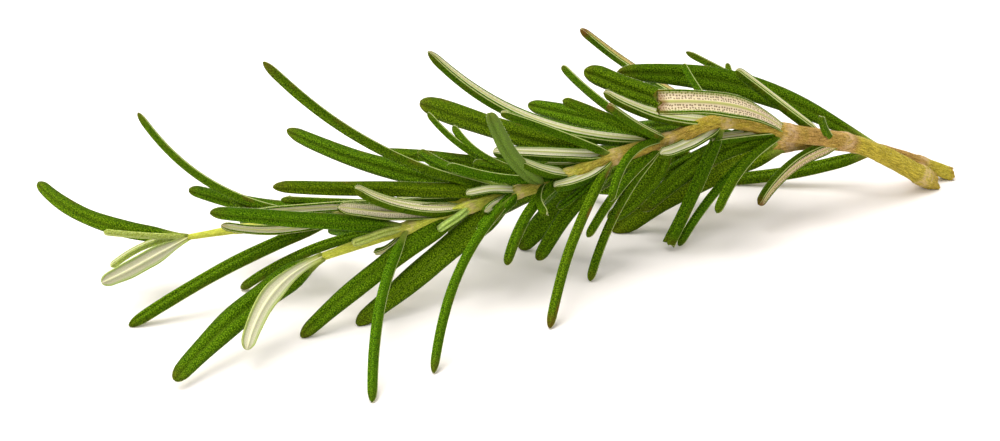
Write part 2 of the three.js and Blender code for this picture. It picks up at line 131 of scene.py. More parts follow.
LEAVES = {
    "main": [
        # the lowest pair and a small leaf above them
        dict(at=2.4, tip=(736, 70), near=16, width=2.2, face=-104, via=(780, 104), look="green"),
        dict(at=2.25, tip=(821, 117), near=7, width=1, face=-50, look="fresh"),
        dict(at=2, tip=(759, 205), height=3.5, width=2.5, face=122, via=(800, 160), look="tanned"),
        # the broad leaf folded over the stem, and those that hang to the front and below
        dict(at=3, tip=(655, 103), near=24, width=3.5, face=-153, via=(720, 104), swell=0.6,
             end="torn", look="scarred"),
        dict(at=3, tip=(717, 213), near=17, width=1.4, face=60, via=(738, 172), look="fresh"),
        dict(at=3, tip=(679, 246), height=0.2, width=1.2, face=50, via=(718, 188), look="fresh"),
        dict(at=3, tip=(712, 141), near=12, width=1.8, face=-125, via=(750, 135), look="fresh"),
        dict(at=3, tip=(642, 211), height=3.8, width=2.7, face=15, via=(700, 163), look="dark"),
        # the top of the arch
        dict(at=4, tip=(683, 64), far=10.5, width=1, face=-80, via=(700, 92), look="fresh"),
        dict(at=4, tip=(668, 245), height=0.8, width=2, face=50, via=(697, 184), end="torn",
             look="green"),
        dict(at=4, tip=(660, 154), near=12, width=1.9, face=-150, via=(680, 148), look="fresh"),
        dict(at=3.5, tip=(650, 182), height=7.5, width=1.8, face=0, via=(696, 157), look="dark"),
        dict(at=4, tip=(580, 29), back=37, width=1.6, face=-112, via=(635, 70), behind=6.3,
             look="withered"),
        dict(at=4, tip=(584, 71), back=20, width=3, face=-15, via=(645, 94), end="blunt",
             look="dark"),
        dict(at=4, tip=(604, 92), near=19, width=2.5, face=-125, via=(650, 113), look="green"),
        # fifth point
        dict(at=5, tip=(611, 201), near=14, width=1.1, face=60, via=(622, 164), look="fresh"),
        dict(at=5, tip=(608, 219), height=4.5, width=2.6, face=10, via=(650, 181), look="dark"),
        dict(at=5, tip=(590, 281), height=0.2, width=1.3, face=65, via=(608, 228), look="green"),
        dict(at=5, tip=(587, 237), near=18, width=1.2, face=50, via=(600, 215), look="fresh"),
        dict(at=5, tip=(562, 66), far=20, width=1.4, face=-75, via=(590, 93), look="green"),
        dict(at=5, tip=(563, 100), near=16.5, width=1.6, face=-45, via=(610, 120), look="green"),
        dict(at=5, tip=(608, 105), near=13, width=1.7, face=-95, via=(645, 130), look="worn"),
        dict(at=5, tip=(428, 52), near=36, width=2.6, face=-118, via=(560, 130), look="green"),
        dict(at=5, tip=(528, 105), far=24, width=3, face=0, via=(600, 122), look="dark"),
        # sixth point
        dict(at=6, tip=(549, 328), height=0.2, width=1.4, face=40, via=(573, 240), look="worn"),
        dict(at=6, tip=(519, 248), height=0.2, width=3.8, face=10, via=(556, 211), look="dark"),
        dict(at=6, tip=(537, 260), height=1.5, width=2.3, face=15, via=(570, 209), look="dark"),
        dict(at=6, tip=(554, 187), near=11, width=2, face=-128, via=(575, 182), look="fresh"),
        dict(at=6, tip=(558, 208), near=10.5, width=1.1, face=10, via=(575, 195), look="fresh"),
        dict(at=6, tip=(501, 113), near=19, width=1.7, face=-90, via=(555, 132), look="green"),
        dict(at=6, tip=(420, 102), far=31, width=3.3, face=-25, via=(500, 130), end="blunt",
             look="dark"),
        dict(at=6, tip=(493, 152), near=17, width=2.2, face=-128, via=(555, 155), look="fresh"),
        dict(at=6, tip=(545, 165), far=11, width=1, face=-100, look="green"),
        # seventh point, with two small leaves just above it
        dict(at=7, tip=(506, 265), near=16.5, width=1.5, face=45, via=(528, 213), look="green"),
        dict(at=7, tip=(380, 153), height=10, width=1.8, face=-30, via=(475, 162), look="dark"),
        dict(at=7, tip=(448, 165), near=18, width=1.2, face=-70, via=(500, 178), look="fresh"),
        dict(at=7, tip=(473, 163), height=13, width=1.6, face=-40, via=(520, 172), look="fresh"),
        dict(at=7, tip=(428, 113), far=23, width=1, face=-80, via=(480, 157), look="fresh"),
        dict(at=7, tip=(453, 126), far=19, width=1, face=-50, via=(485, 157), look="fresh"),
        dict(at=7, tip=(522, 163), near=11, width=1.9, face=-118, via=(545, 171), look="fresh"),
        dict(at=7.4, tip=(546, 214), near=8, width=1.4, face=112, via=(540, 199), look="fresh"),
        dict(at=7.5, tip=(489, 113), near=18.5, width=2.2, face=-35, via=(506, 149), look="grey"),
        # eighth point
        dict(at=8, tip=(263, 62), near=39, width=1.5, face=-70, via=(400, 159), look="dark"),
        dict(at=8, tip=(287, 130), far=35, width=2.8, face=-20, via=(400, 172), look="dark"),
        dict(at=8, tip=(387, 162), far=19, width=1.7, face=-50, via=(440, 178), look="green"),
        dict(at=8, tip=(273, 187), near=34, width=2.1, face=-30, via=(400, 190), look="dark"),
        dict(at=8, tip=(466, 194), near=8.5, width=1.2, face=-150, via=(490, 190), look="fresh"),
        dict(at=8, tip=(357, 325), height=0.2, width=3.4, face=0, via=(435, 260), look="dark"),
        dict(at=8, tip=(433, 373), height=0.2, width=1.3, face=50, via=(453, 285), look="green"),
        dict(at=8, tip=(479, 229), near=9.5, width=1.8, face=30, via=(495, 213), look="fresh"),
        dict(at=8, tip=(484, 211), near=7.5, width=1.1, face=160, look="fresh"),
        # ninth point
        dict(at=9, tip=(355, 188), near=18.5, width=2.2, face=-122, via=(410, 208), look="pitted"),
        dict(at=9, tip=(338, 207), near=20, width=2.1, face=-165, via=(400, 213), look="pitted"),
        dict(at=9, tip=(301, 337), height=0.2, width=2.8, face=10, via=(380, 268), look="green"),
        dict(at=9, tip=(438, 230), near=6.2, width=1.1, face=-20, look="shoot"),
        # tenth point
        dict(at=10, tip=(210, 213), near=28, width=2.2, face=-25, via=(300, 220), look="green"),
        dict(at=10, tip=(241, 289), height=0.2, width=1.4, face=40, via=(330, 243), look="dark"),
        dict(at=10, tip=(353, 244), near=8.8, width=1.2, face=0, via=(380, 234), look="shoot"),
        dict(at=10, tip=(375, 252), far=6, width=0.9, face=150, via=(390, 246), look="dark"),
        dict(at=10, tip=(372, 402), height=0.2, width=1.4, face=50, via=(380, 305), look="fresh"),
        # the pair that ends the shoot
        dict(at=11, tip=(247, 350), near=18, width=2.6, face=178, via=(275, 290), behind=-0.6, swell=0.55,
             look="young"),
        dict(at=11, tip=(174, 380), height=1.5, width=3.5, face=0, via=(240, 315), behind=1.6, look="green"),
    ],
    "second": [
        dict(at=1.5, tip=(617, 73), back=21.5, width=3.8, face=-5, via=(748, 88), swell=0.55, look="dark"),
        dict(at=1.5, tip=(686, 52), back=38, width=1, face=-80, via=(725, 72), look="green"),
        dict(at=3.3, tip=(727, 63), far=18, width=0.8, face=-70, look="green"),
        dict(at=1.5, tip=(682, 181), height=0.2, width=2.2, face=50, via=(790, 172), look="dark"),
        dict(at=3, tip=(612, 231), height=0.2, width=3.7, face=10, via=(690, 183), end="blunt",
             look="dark"),
    ],
    "side": [
        dict(at=0, tip=(396, 201), height=12, width=1.5, face=-120, via=(440, 198), look="fresh"),
        dict(at=1, tip=(250, 214), near=23, width=1.4, face=165, via=(330, 206), look="green"),
        dict(at=1, tip=(281, 200), far=19, width=0.9, face=-60, via=(340, 202), look="green"),
        dict(at=2, tip=(221, 226), near=18, width=1.4, face=180, via=(285, 229), look="green"),
        dict(at=2, tip=(129, 326), height=0.2, width=1.9, face=40, via=(240, 260), look="fresh"),
        dict(at=2, tip=(138, 113), far=33, width=1.4, face=-80, via=(210, 183), look="dark"),
        dict(at=2, tip=(189, 190), far=24, width=2.2, face=-20, via=(260, 206), look="green"),
        # the leaves that end the shoot
        dict(at=5, tip=(38, 183), far=23, width=2.3, face=-20, via=(100, 222), look="green"),
        dict(at=5, tip=(104, 232), near=12.2, width=0.7, face=100, via=(150, 236), look="shoot"),
        dict(at=5, tip=(111, 267), near=11, width=0.9, face=-120, via=(130, 253), look="shoot"),
        dict(at=5, tip=(102, 283), near=15, width=2.5, face=180, via=(160, 253), swell=0.5, look="young"),
    ],
}

PLAIN_ARCH = 0.5  # of a leaf with no via, towards its upper face
EDGE_STIFFNESS = 3  # a blade bends this much less easily edgeways than over its flat

# Leaves of the far side, repeated by rule: (first point, last point, reach from root to tip, the
# most that a copy departs from that reach, width)
BACK_LEAVES = {
    "main": [
        (4, 8, (-12, 13, -7), 1, 2.2),
        (10, 10, (-12, 13, -6), 1, 2.2),
        (4, 8, (-9, 9.5, -10.5), 0.8, 2),
        (6, 6, (-13, 10, 1), 1, 1.8),
        (8, 8, (-13, 10, 1), 1, 1.8),
    ],
    "second": [
        (4, 5, (-14, 10, 3), 1, 2.2),
        (3, 5, (-15, 11, -3), 1, 2.2),
        (4, 5, (-9, 5, 6), 1, 2),
    ],
    "side": [
        (2, 2, (-12, 8, -5), 0.8, 2),
        (3, 3, (-8, 9, -4.5), 0.8, 2),
        (2, 3, (-9, 6, 0), 0.8, 1.8),
    ],
}
BACK_LEAF_ARCH = 1
LOWEST_BACK_TIP = 0.8
PLAY_STEPS = (7, 5, 11)  # turns the play differently along x, y and z

# How leaves look: (youth, worn, tan, grey, felt edge)
#   youth      0 dark and old, 1 yellow-green
#   worn       browning of the tip and margins
#   tan        browning of the felt
#   grey       bloom over the green
#   felt edge  how far the felt reaches from the midrib, in half widths
LOOKS = {
    "dark": (0.05, 0.35, 0.15, 0, 0.55),
    "green": (0.38, 0.3, 0.05, 0, 0.55),
    "fresh": (0.55, 0.15, 0, 0, 0.76),
    "pitted": (0.35, 0.2, 0.35, 0, 0.8),
    "young": (0.95, 0.1, 0, 0, 0.84),
    "shoot": (1.3, 0, 0, 0, 0.4),
    "worn": (0.35, 0.9, 0.3, 0, 0.55),
    "scarred": (0.25, 0.8, 0.8, 0, 0.78),
    "tanned": (0.3, 1.15, 1, 0, 0.7),
    "withered": (0.1, 1.6, 1, 0, 0.6),
    "grey": (0.45, 0.2, 0, 0.5, 0.55),
}

# A blade's outline, in shares of its width and length. Broad blades taper more.
ROOT_WIDTH = 0.38
FULL_WIDTH_FROM = 0.22
TAPER_FROM = 0.45
TAPER_POWER = 1.6
LEAST_TAPER = 0.1
TAPER_PER_WIDTH = 0.13
MOST_TAPER = 0.42
TIP_ROUND_FROM = 0.92
BLUNT_ROUND_FROM = 0.87
THICK_UNTIL = 0.95


# ---- Curves ------------------------------


def unit(vector):
    return vector / np.linalg.norm(vector)


def stem_place(stem, place):
    """The stem's centre and heading at a place along its points."""
    points = np.array(STEMS[stem]["points"], float)
    points = np.vstack([2 * points[0] - points[1], points, 2 * points[-1] - points[-2]])
    index = min(max(int(place), 0), len(points) - 4)
    w = place - index
    a, b, c, d = points[index:index + 4]
    start, end = (c - a) / 2, (d - b) / 2
    cubic = 2 * b - 2 * c + start + end
    square = 3 * c - 3 * b - 2 * start - end
    centre = ((cubic * w + square) * w + start) * w + b
    return centre, unit((3 * cubic * w + 2 * square) * w + start)


def sight(pixel):
    """The heading of the line of sight through a pixel of the camera's picture."""
    forward = np.array([0, math.cos(EYE_DIP), -math.sin(EYE_DIP)])
    up = np.array([0, math.sin(EYE_DIP), math.cos(EYE_DIP)])
    across, down = (np.array(pixel) - PICTURE / 2) / STEPS_PER_DISTANCE
    return unit(forward + across * np.array([1, 0, 0]) - down * up)


def tip_place(leaf, root):
    heading = sight(leaf["tip"])
    if "height" in leaf:
        return EYE + heading * (leaf["height"] - EYE[2]) / heading[2]
    if "back" in leaf:
        return EYE + heading * (leaf["back"] - EYE[1]) / heading[1]
    beside = EYE + heading * ((root - EYE) @ heading)
    length = leaf["near"] if "near" in leaf else leaf["far"]
    depth = math.sqrt(max(0, length**2 - (beside - root) @ (beside - root)))
    return beside + heading * (-depth if "near" in leaf else depth)


def bow_of(leaf, root, tip, upper, across):
    """How far the blade's middle stands off the line from root to tip."""
    if "via" not in leaf:
        return PLAIN_ARCH * upper
    heading = sight(leaf["via"])
    reach = tip - root
    # where the line of sight and the line from root to tip pass closest
    level = unit(np.cross(heading, reach))
    beside = np.cross(level, heading)
    station = ((EYE - root) @ beside) / (reach @ beside)
    offset = (EYE - root) @ level * level / (4 * station * (1 - station))
    flat = offset @ upper
    edge = offset @ across
    give = flat**2 + (edge / EDGE_STIFFNESS) ** 2
    share = offset @ offset / give if give > 0 else 0
    bow = share * (flat * upper + edge / EDGE_STIFFNESS**2 * across)
    return bow + leaf.get("behind", 0) * heading


def seen_leaf(stem, leaf):
    """A leaf in full: root, tip, the way its upper face looks, bow, width and look."""
    root = stem_place(stem, leaf["at"])[0]
    tip = tip_place(leaf, root)
    chord = unit(tip - root)
    to_eye = EYE - (root + tip) / 2
    upper = unit(to_eye - (to_eye @ chord) * chord)
    across = np.cross(chord, upper)
    turn = math.radians(leaf["face"])
    upper = math.cos(turn) * upper + math.sin(turn) * across
    across = np.cross(chord, upper)
    bow = bow_of(leaf, root, tip, upper, across)
    return {**leaf, "root": root, "tip": tip, "upper": upper, "bow": bow}


def back_leaves(stem):
    """The far side's rows of leaves, each a little different from the last."""
    leaves = []
    for first, last, reach, play, width in BACK_LEAVES[stem]:
        for point in range(first, last + 1):
            root, along = stem_place(stem, point)
            tip = root + reach + play * np.sin(point * np.array(PLAY_STEPS))
            tip[2] = max(tip[2], LOWEST_BACK_TIP)
            chord = unit(tip - root)
            upper = unit(along - (along @ chord) * chord)
            leaves.append(dict(
                root=root, tip=tip, upper=upper, bow=BACK_LEAF_ARCH * upper, width=width,
                look="dark" if point % 2 else "green",
            ))
    return leaves


# ---- Meshes ------------------------------


class Skin:
    """Gathers vertices, faces, their materials and per-vertex values for one mesh."""

    def __init__(self):
        self.points = []
        self.faces = []
        self.face_materials = []
        self.values = {}
        self.count = 0

    def add(self, points, faces, face_materials, values):
        """points is (n, 3); values maps a name to n numbers, the same names in every call."""
        self.points.append(points)
        self.faces += [tuple(corner + self.count for corner in face) for face in faces]
        self.face_materials += face_materials
        for name, numbers in values.items():
            self.values.setdefault(name, []).append(np.asarray(numbers, float))
        self.count += len(points)

    def make(self, name, materials, node, slot):
        mesh = bpy.data.meshes.new(name)
        mesh.from_pydata((np.vstack(self.points) * MM).tolist(), [], self.faces)
        for material in materials:
            mesh.materials.append(material)
        mesh.polygons.foreach_set("material_index", self.face_materials)
        mesh.polygons.foreach_set("use_smooth", [True] * len(mesh.polygons))
        for key, numbers in self.values.items():
            attribute = mesh.attributes.new(key, "FLOAT", "POINT")
            attribute.data.foreach_set("value", np.concatenate(numbers))
        mesh.update()
        piece = bpy.data.objects.new(name, mesh)
        bpy.context.scene.collection.objects.link(piece)
        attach(piece, "root")
        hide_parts(node)


def loft_faces(rings, sides):
    """Faces of a closed skin over rings of points, with a point at each end after them."""
    faces = []
    for ring in range(rings - 1):
        low, high = ring * sides, (ring + 1) * sides
        for side in range(sides):
            after = (side + 1) % sides
            faces.append((low + side, low + after, high + after, high + side))
    start, end, last = rings * sides, rings * sides + 1, (rings - 1) * sides
    for side in range(sides):
        after = (side + 1) % sides
        faces.append((start, after, side))
        faces.append((end, last + side, last + after))
    return faces


def smoothstep(value, low, high):
    share = min(max((value - low) / (high - low), 0), 1)
    return share * share * (3 - 2 * share)


# ---- Down --------------------------------

HAIR = 0.16  # mm, the longest
SHORTEST_HAIR = 0.4  # as a share of the longest
HAIR_RADIUS = 0.013
HAIR_FOOT = 0.04  # mm that it starts below the skin
HAIRS_PER_MM = 12  # along each margin of a blade
HAIRS_PER_SQUARE_MM = 9  # on a stem
RIM_CORNER = 8  # the corner of a blade's section that the margin's hairs grow from

# How much a hair stands straight out, lies along its blade or stem, and strays.
LEAF_HAIR_STAND = {"out": 1, "along": 0.5, "stray": 0.3}
STEM_HAIR_STAND = {"out": 0.8, "along": 0.7, "stray": 0.2}
TINY = 1e-9


def directions(vectors, least=0.0):
    return vectors / (np.linalg.norm(vectors, axis=1)[:, None] + least)


def add_hairs(skin, places, out, along, stand, draw):
    """Adds a thin spike, closed at its foot, at each place."""
    count = len(places)
    stray = draw.normal(0, stand["stray"], (count, 3))
    headings = directions(stand["out"] * out + stand["along"] * along + stray)
    right = directions(np.cross(headings, draw.normal(size=(count, 3))))
    above = np.cross(headings, right)
    foot = places - HAIR_FOOT * headings
    corners = [
        foot + HAIR_RADIUS * (math.cos(turn) * right + math.sin(turn) * above)
        for turn in (0, 2 * math.pi / 3, 4 * math.pi / 3)
    ]
    tips = places + headings * HAIR * draw.uniform(SHORTEST_HAIR, 1, (count, 1))
    points = np.stack(corners + [tips], axis=1).reshape(-1, 3)
    points[:, 2] = np.maximum(points[:, 2], 0)
    faces = []
    for first in range(0, 4 * count, 4):
        faces += [
            (first, first + 2, first + 1), (first, first + 1, first + 3),
            (first + 1, first + 2, first + 3), (first + 2, first, first + 3),
        ]
    skin.add(points, faces, [0] * len(faces), {})


def leaf_hairs(skin, rings, length, draw):
    """Down along both margins of a blade, from its rings of points."""
    rings = np.array(rings)
    centres = rings.mean(axis=1)
    count = int(length * HAIRS_PER_MM)
    for corner in (RIM_CORNER, rings.shape[1] - RIM_CORNER):
        station = draw.uniform(1, len(rings) - 1.01, count)
        low = station.astype(int)
        share = (station - low)[:, None]
        places = (1 - share) * rings[low, corner] + share * rings[low + 1, corner]
        middle = (1 - share) * centres[low] + share * centres[low + 1]
        along = directions(rings[low + 1, corner] - rings[low, corner], TINY)
        add_hairs(skin, places, directions(places - middle), along, LEAF_HAIR_STAND, draw)


def stem_hairs(skin, rings, draw):
    """Down all over a stem, from its rings of points."""
    rings = np.array(rings)
    centres = rings.mean(axis=1)
    length = float(np.linalg.norm(np.diff(centres, axis=0), axis=1).sum())
    girth = 2 * math.pi * float(np.linalg.norm(rings[:, 0] - centres, axis=1).mean())
    count = int(length * girth * HAIRS_PER_SQUARE_MM)
    low = draw.integers(1, len(rings) - 1, count)
    corner = draw.integers(0, rings.shape[1], count)
    share = draw.uniform(0, 1, (count, 1))
    places = (1 - share) * rings[low, corner] + share * rings[low + 1, corner]
    along = directions(rings[low, corner] - rings[low - 1, corner], TINY)
    add_hairs(skin, places, directions(places - centres[low]), along, STEM_HAIR_STAND, draw)


# ---- Leaf blades -------------------------

LEAF_RINGS = 30
TIP_RINGS = 7
TIP_LENGTH = 0.06  # share of the blade over which the last rings crowd together
TIP_CROWDING = 1.7
TIP_LEFT = 0.02  # what rounding leaves of the tip, squared, so that it doesn't close up
THICKNESS = {"start": 0.55, "per_width": 0.38, "least": 0.85, "most": 1.3}
OVER_WIDTH = 0.1  # a narrowing blade keeps this much more of its thickness than of its width

# No blade is quite even. Waves are in radians from root to tip.
SWAY = 0.06  # mm
SWAY_WAVE = 9
RIPPLE = 0.035  # of the half width
LEFT_WAVE = 14
RIGHT_WAVE = 17
MOST_TWIST = 0.12  # radians from root to tip
UNTWISTED = 0.3  # the station with no twist
YOUTH_PLAY = 0.06

# A torn tip's notches: how far they go in, as a share of the width, and where they start.
TORN_DEPTH = 0.26
TORN_FROM = 0.9


def leaf_section(felt_edge):
    """Round the blade from the upper midline to the lower one and back.

    Gives (half widths, thicknesses) of each corner, the sides that are felt, and how far each
    corner has gone from the upper face (0) over the rolled margin to the felt (1).
    felt_edge is where the rolled margin ends and the felt of the underside starts.
    """
    upper = [
        (0, 0.22), (0.07, 0.26), (0.18, 0.39), (0.36, 0.49), (0.56, 0.49), (0.76, 0.37),
        (0.92, 0.15), (1, -0.12),
    ]
    margin = [(0.96, -0.34), ((felt_edge + 0.96) / 2, -0.47), (felt_edge, -0.43)]
    felt = [
        (felt_edge - 0.05, -0.31), (felt_edge * 0.72, -0.23), (felt_edge * 0.45, -0.21),
        (0.17, -0.27), (0.09, -0.39), (0, -0.44),
    ]
    right = upper + margin + felt
    left = [(-x, y) for x, y in reversed(right[1:-1])]
    section = np.array(right + left)
    felt_start = len(upper) + len(margin) - 1
    felt_sides = range(felt_start, felt_start + 2 * len(felt))
    under = [0] * len(upper) + [0.3, 0.75] + [1] * (1 + len(felt))
    under += under[-2:0:-1]
    return section, felt_sides, under


def girth_places(section, width, thickness):
    """How far round the section each corner lies from the upper midline, in mm. Left is negative."""
    half = len(section) // 2
    steps = np.diff(section * (width / 2, thickness), axis=0)
    places = np.append(0, np.cumsum(np.linalg.norm(steps, axis=1)))
    places[half + 1:] = -places[half - 1:0:-1]
    return places


def rounding(station, start):
    """How much of the blade is left at a station, where its tip is rounded from start onwards."""
    past = max(station - start, 0) / (1 - start)
    return math.sqrt(max(1 - past * past, TIP_LEFT))


def fullness(station, width, swell, end):
    """The blade's width and thickness at a station along it, as shares of the full ones."""
    full = ROOT_WIDTH + (1 - ROOT_WIDTH) * smoothstep(station, 0, swell)
    if end == "torn":
        return full, full
    if end == "" and station > TAPER_FROM:
        taper = min(max(LEAST_TAPER + TAPER_PER_WIDTH * (width - 1), LEAST_TAPER), MOST_TAPER)
        full -= taper * ((station - TAPER_FROM) / (1 - TAPER_FROM)) ** TAPER_POWER
    round_from = BLUNT_ROUND_FROM if end == "blunt" else TIP_ROUND_FROM
    thick = min(1, full + OVER_WIDTH)
    return full * rounding(station, round_from), thick * rounding(station, THICK_UNTIL)


def thickness_of(width):
    wanted = THICKNESS["start"] + THICKNESS["per_width"] * width
    return min(max(wanted, THICKNESS["least"]), THICKNESS["most"])


def blade_stations():
    """Places along a blade, crowded at its tip."""
    body = list(np.linspace(0, 1 - TIP_LENGTH, LEAF_RINGS - TIP_RINGS))
    left = [1 - (ring + 1) / TIP_RINGS for ring in range(TIP_RINGS)]
    return body + [1 - TIP_LENGTH * share ** TIP_CROWDING for share in left]


def blade_ring(leaf, station, section, phases, twist):
    """The blade's section at a station, in its place."""
    root, upper, bow, width = leaf["root"], leaf["upper"], leaf["bow"], leaf["width"]
    swell, end = leaf.get("swell", FULL_WIDTH_FROM), leaf.get("end", "")
    sway_phase, left_phase, right_phase = phases
    reach = leaf["tip"] - root
    across = np.cross(unit(reach), upper)
    centre = root + station * reach + 4 * station * (1 - station) * bow
    centre = centre + SWAY * math.sin(SWAY_WAVE * station + sway_phase) * station * across
    heading = unit(reach + 4 * (1 - 2 * station) * bow)
    normal = unit(upper - (upper @ heading) * heading)
    side = np.cross(heading, normal)
    lean = twist * (station - UNTWISTED)
    normal, side = (
        math.cos(lean) * normal + math.sin(lean) * side,
        math.cos(lean) * side - math.sin(lean) * normal,
    )
    full, thick = fullness(station, width, swell, end)
    left = 1 + RIPPLE * math.sin(LEFT_WAVE * station + left_phase)
    right = 1 + RIPPLE * math.sin(RIGHT_WAVE * station + right_phase)
    half = width / 2 * full
    depth = thickness_of(width) * thick
    x = section[:, 0] * half * np.where(section[:, 0] < 0, left, right)
    ring = centre + np.outer(x, side) + np.outer(section[:, 1] * depth, normal)
    if end == "torn":
        teeth = 0.5 + 0.3 * np.sin(5 * section[:, 0] + left_phase) + 0.2 * np.sin(11 * section[:, 0])
        ring -= np.outer(TORN_DEPTH * width * teeth * smoothstep(station, TORN_FROM, 1), heading)
    return ring


def add_leaf(skin, down, leaf, seed):
    draw = np.random.default_rng(seed)
    width = leaf["width"]
    youth, worn, tan, grey, felt_edge = LOOKS[leaf["look"]]
    length = float(np.linalg.norm(leaf["tip"] - leaf["root"]))
    section, felt_sides, under = leaf_section(felt_edge)
    phases = draw.uniform(0, 2 * math.pi, 3)
    twist = draw.uniform(-MOST_TWIST, MOST_TWIST)
    stations = blade_stations()
    points = [blade_ring(leaf, station, section, phases, twist) for station in stations]
    leaf_hairs(down, points, length, draw)

    rings, sides = len(stations), len(section)
    points = np.vstack(points + [leaf["root"][None, :], points[-1].mean(axis=0)[None, :]])
    points[:, 2] = np.maximum(points[:, 2], 0)
    materials = [int(index % sides in felt_sides) for index in range((rings - 1) * sides)]
    materials += [0] * (2 * sides)
    girth = girth_places(section, width, thickness_of(width))
    along = np.append(np.repeat(stations, sides), [0, 1])
    across, under, girth = (
        np.append(np.tile(numbers, rings), [0, 0]) for numbers in (section[:, 0], under, girth)
    )
    values = {
        "across": across, "along": along, "under": under, "round": girth, "run": along * length,
        "seed": np.full(len(points), draw.uniform(0, 1)),
    }
    youth = max(youth + draw.uniform(-YOUTH_PLAY, YOUTH_PLAY), 0)
    for name, value in (("youth", youth), ("worn", worn), ("tan", tan), ("grey", grey)):
        values[name] = np.full(len(points), value)
    skin.add(points, loft_faces(rings, sides), materials, values)


# ---- Stem skins --------------------------

STEM_SIDES = 32
STEM_STEP = 0.3  # mm between rings
ANGLES = 2 * math.pi * (np.arange(STEM_SIDES) + 0.5) / STEM_SIDES
END_THINNING = 0.32  # share of the radius that's lost over a stem's last stretch
END_CAP = 0.6  # of the radius

# A stem swells at a node and has a collar just past it: shares of the radius, and mm along it.
SWELLING = 0.13
SWELLING_LENGTH = 0.8
COLLAR = 0.07
COLLAR_PLACE = 0.75
COLLAR_LENGTH = 0.2

# It is faintly square, turned at each node, and ridged and rough: shares of the radius, and how
# often each comes round the stem or along it.
SQUARENESS = 0.06
SQUARE_TURN = 0.4
QUARTER_TURN = 1.57
ROUGHNESS = 0.012
FINE_RIDGES = 13
ROUGH_WAVE = 2.1  # radians a mm

# Its end leans into an upright cut over the last stretch, with a ragged edge: mm, and shares.
CUT_REACH = 2.2
RAGGED = 0.14
RAGGED_TEETH = 5
RAGGED_FINE = 0.1
RAGGED_FINE_TEETH = 9
# The cut face from pith to bark: (share of the radius, depth in mm, tear in mm, paleness from
# the pith at 0 to the rim at 1)
CUT_FACE = [
    (0.2, 0.4, 0.02, 0), (0.3, 0.18, 0.04, 0), (0.45, 0.1, 0.1, 0.3), (0.8, 0.14, 0.12, 0.6),
    (0.86, 0.02, 0.1, 1),
]
ON_THE_CUT = -1  # the value of bark there


def bark_at(stem, place):
    """(bark, fresh) at a place along the stem."""
    places, bark, fresh = zip(*STEMS[stem]["bark"])
    return float(np.interp(place, places, bark)), float(np.interp(place, places, fresh))


def stem_shape(facts, place, length, travelled, phases):
    """The stem's radius at each angle, and how near a node it is (0 to 1)."""
    low, high = facts["radii"]
    last = len(facts["points"]) - 1
    nearest = min(facts["nodes"], key=lambda node: abs(place - node))
    gap = (place - nearest) * length / last
    at_node = math.exp(-((gap / SWELLING_LENGTH) ** 2))
    collar = math.exp(-(((gap - COLLAR_PLACE) / COLLAR_LENGTH) ** 2))
    square = SQUARENESS * np.cos(4 * ANGLES + SQUARE_TURN + QUARTER_TURN * round(nearest))
    fine = ROUGHNESS * np.sin(FINE_RIDGES * ANGLES + phases[0] + 0.5 * math.sin(travelled / 3))
    wander = 3 * np.cos(ANGLES + phases[3])
    rough = ROUGHNESS * np.sin(travelled * ROUGH_WAVE + phases[2] + wander)
    radius = low + (high - low) * place / last
    radius *= 1 - END_THINNING * max(0, place - last + 1)
    shape = radius * (1 + SWELLING * at_node + COLLAR * collar + square + fine + rough)
    return shape, max(at_node, collar)


def cut_slant(shape, heading, travelled, phases):
    """How far each corner of a ring is moved along the stem, to lie in the cut or near it."""
    slant = heading[2] / math.hypot(heading[0], heading[1]) * np.cos(ANGLES)
    slant = slant + RAGGED * np.sin(RAGGED_TEETH * ANGLES + phases[4])
    slant = slant + RAGGED_FINE * np.sin(RAGGED_FINE_TEETH * ANGLES)
    return shape * slant * smoothstep(CUT_REACH - travelled, 0, CUT_REACH)


def cut_face(stem, rim, phases):
    """Rows for the rings of the cut face, from the pith outwards."""
    centre, heading = stem_place(stem, 0)
    rows = []
    for share, depth, tear, paleness in CUT_FACE:
        grain = np.sin(RAGGED_TEETH * ANGLES + phases[4]) * np.sin(3 * ANGLES + phases[5])
        ring = centre + (rim - centre) * share + np.outer(depth + tear * grain, heading)
        rows.append((ring, 0, ON_THE_CUT, 0, paleness))
    return rows


